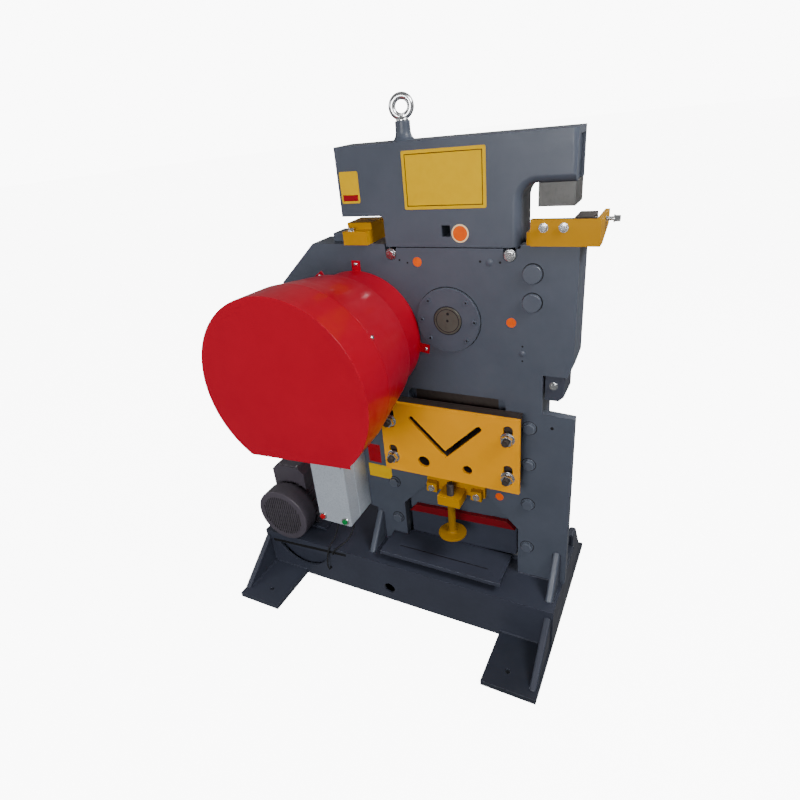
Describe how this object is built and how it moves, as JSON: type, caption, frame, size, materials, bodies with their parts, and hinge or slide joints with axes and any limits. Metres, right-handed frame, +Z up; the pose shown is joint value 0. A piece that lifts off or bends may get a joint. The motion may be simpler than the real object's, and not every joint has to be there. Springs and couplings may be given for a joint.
{
  "type": "mechanical ironworker machine",
  "caption": "Free-standing ironworker: T-shaped ram on a plate frame with punch, notcher, section and plate shears, red flywheel guard, motor and switch box on a footed base.",
  "frame": {"origin": "centre of the four foot bolts, on the floor", "axes": "+X to the machine right as seen from the front, +Y to the back, +Z up"},
  "size_m": [1.341, 0.923, 1.83],
  "materials": {
    "frame_paint": "satin dark blue-grey machine paint",
    "base_paint": "satin dark blue-grey machine paint",
    "guard_paint": "gloss red enamel",
    "tool_paint": "satin yellow enamel",
    "label": "blank yellow plate",
    "blade_steel": "ground tool steel",
    "shaft_steel": "turned, oiled",
    "zinc": "bright zinc",
    "iron": "machined cast iron",
    "motor_paint": "dark grey motor paint",
    "box_paint": "light grey hammer paint",
    "red_button": "moulded",
    "green_button": "moulded",
    "belt": "moulded"
  },
  "bodies": {
    "frame": {"base_beam": "base_paint", "beam_liner": "base_paint", "foot_right": "base_paint", "foot_left": "base_paint", "foot_gussets": "base_paint", "frame_gussets": "frame_paint", "front_plate": "frame_paint", "rear_plate": "frame_paint", "core_left": "frame_paint", "core_right": "frame_paint", "frame_bolts": "frame_paint", "pin_heads": "frame_paint", "cover_bolts": "zinc", "bearing_front": "frame_paint", "bearing_rear": "frame_paint", "flange_bolts": "frame_paint", "shear_bed": "base_paint", "lower_blade": "blade_steel", "shear_table": "base_paint", "table_bars": "base_paint", "hold_bracket": "tool_paint", "section_die": "blade_steel", "guide_studs": "zinc", "die_holder": "tool_paint", "die_block": "blade_steel", "tool_bolts": "zinc", "notch_table": "tool_paint", "notch_stop": "frame_paint", "side_block": "blade_steel", "drive_bearings": "frame_paint", "motor_base": "base_paint", "motor_body": "motor_paint", "fan_cover": "motor_paint", "terminal_box": "motor_paint", "drive_belts": "belt", "guard_pan": "guard_paint", "guard_shell": "guard_paint", "rear_cover": "guard_paint", "switch_box": "box_paint", "switch_leads": "belt"},
    "ram": {"ram": "frame_paint", "punch_block": "blade_steel", "eye_bolt": "zinc", "section_blade": "blade_steel", "blade_holder": "guard_paint", "upper_blade": "blade_steel", "label_plates": "label"},
    "eccentric": {"eccentric_shaft": "shaft_steel", "main_gear": "iron"},
    "drive": {"drive_shaft": "shaft_steel", "flywheel": "iron", "drive_pulley": "iron"},
    "rotor": {"motor_rotor": "shaft_steel", "motor_pulley": "iron"},
    "guide": {"guide_plate": "tool_paint"},
    "hold_down": {"hold_screw": "tool_paint"},
    "die_clamp": {"die_screw": "zinc"},
    "stop": {"stop_button": "red_button"},
    "start": {"start_button": "green_button"}
  },
  "joints": [
    {"name": "ram_slide", "type": "slide", "parent": "frame", "child": "ram", "axis": [0, 0, 1], "range_m": [0, 0.026]},
    {"name": "eccentric_spin", "type": "hinge", "parent": "frame", "child": "eccentric", "pos_m": [0.235, 0.0285, 1.18], "axis": [0, 1, 0], "continuous": true},
    {"name": "drive_spin", "type": "hinge", "parent": "frame", "child": "drive", "pos_m": [-0.09011, 0.0285, 1.10793], "axis": [0, 1, 0], "continuous": true},
    {"name": "motor_spin", "type": "hinge", "parent": "frame", "child": "rotor", "pos_m": [-0.498, 0.0285, 0.313], "axis": [0, 1, 0], "continuous": true},
    {"name": "guide_slide", "type": "slide", "parent": "frame", "child": "guide", "axis": [0, 0, 1], "range_m": [-0.012, 0.006]},
    {"name": "hold_slide", "type": "slide", "parent": "frame", "child": "hold_down", "axis": [0, 0, 1], "range_m": [-0.075, 0.003]},
    {"name": "die_screw_slide", "type": "slide", "parent": "frame", "child": "die_clamp", "axis": [1, 0, 0], "range_m": [0, 0.01]},
    {"name": "stop_press", "type": "slide", "parent": "frame", "child": "stop", "axis": [0, 1, 0], "range_m": [0, 0.004], "stiffness_N_per_m": 600, "springref_m": -0.004},
    {"name": "start_press", "type": "slide", "parent": "frame", "child": "start", "axis": [0, 1, 0], "range_m": [0, 0.004], "stiffness_N_per_m": 600, "springref_m": -0.004}
  ],
  "couplings": [
    {"joint": "drive_spin", "follows": "eccentric_spin", "ratio": -5.1667},
    {"joint": "motor_spin", "follows": "eccentric_spin", "ratio": -16.588}
  ]
}
